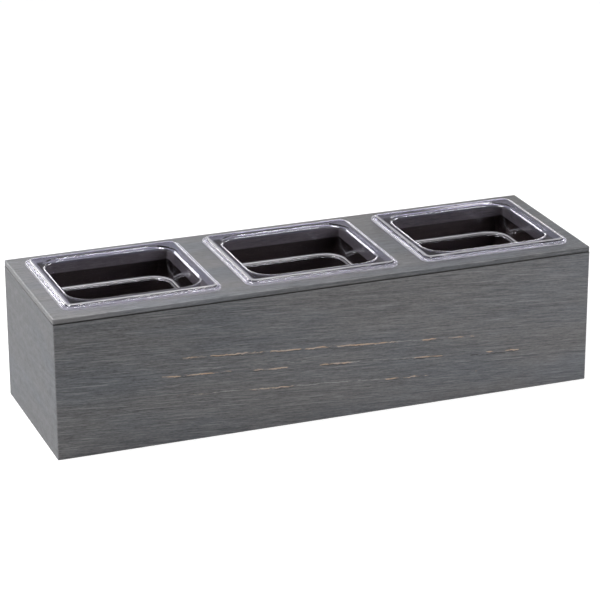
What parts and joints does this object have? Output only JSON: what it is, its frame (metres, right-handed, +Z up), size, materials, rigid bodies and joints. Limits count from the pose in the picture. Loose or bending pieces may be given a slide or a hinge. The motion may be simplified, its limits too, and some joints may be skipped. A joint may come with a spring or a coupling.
{
  "type": "condiment caddy",
  "caption": "Countertop wooden condiment caddy: a long mitred box whose top board carries clear drop-in pans side by side, each lifting out by its rim.",
  "frame": {"origin": "middle of the box's underside, where it stands on the counter", "axes": "+X along the row of pans, to the right seen from the front; the front faces -Y; +Z up"},
  "size_m": [0.616, 0.194, 0.1645],
  "materials": {
    "washed_wood": "grey-washed boards with the grain showing, dull, worn to tan in thin streaks",
    "bare_wood": "unfinished inside face",
    "clear_plastic": "clear moulded polycarbonate, glossy",
    "screw_steel": "zinc-plated"
  },
  "bodies": {
    "caddy_box": {"front_board": "washed_wood", "back_board": "washed_wood", "left_end_board": "washed_wood", "right_end_board": "washed_wood", "base_board": "bare_wood", "top_board": "washed_wood", "front_left_block": "bare_wood", "front_right_block": "bare_wood", "back_left_block": "bare_wood", "back_right_block": "bare_wood", "base_screws": "screw_steel"},
    "lift_out_left": {"left_pan": "clear_plastic"},
    "lift_out_middle": {"middle_pan": "clear_plastic"},
    "lift_out_right": {"right_pan": "clear_plastic"}
  },
  "joints": [
    {"name": "left_pan_lift", "type": "slide", "parent": "caddy_box", "child": "lift_out_left", "axis": [0, 0, 1], "range_m": [0, 0.12]},
    {"name": "middle_pan_lift", "type": "slide", "parent": "caddy_box", "child": "lift_out_middle", "axis": [0, 0, 1], "range_m": [0, 0.12]},
    {"name": "right_pan_lift", "type": "slide", "parent": "caddy_box", "child": "lift_out_right", "axis": [0, 0, 1], "range_m": [0, 0.12]}
  ]
}
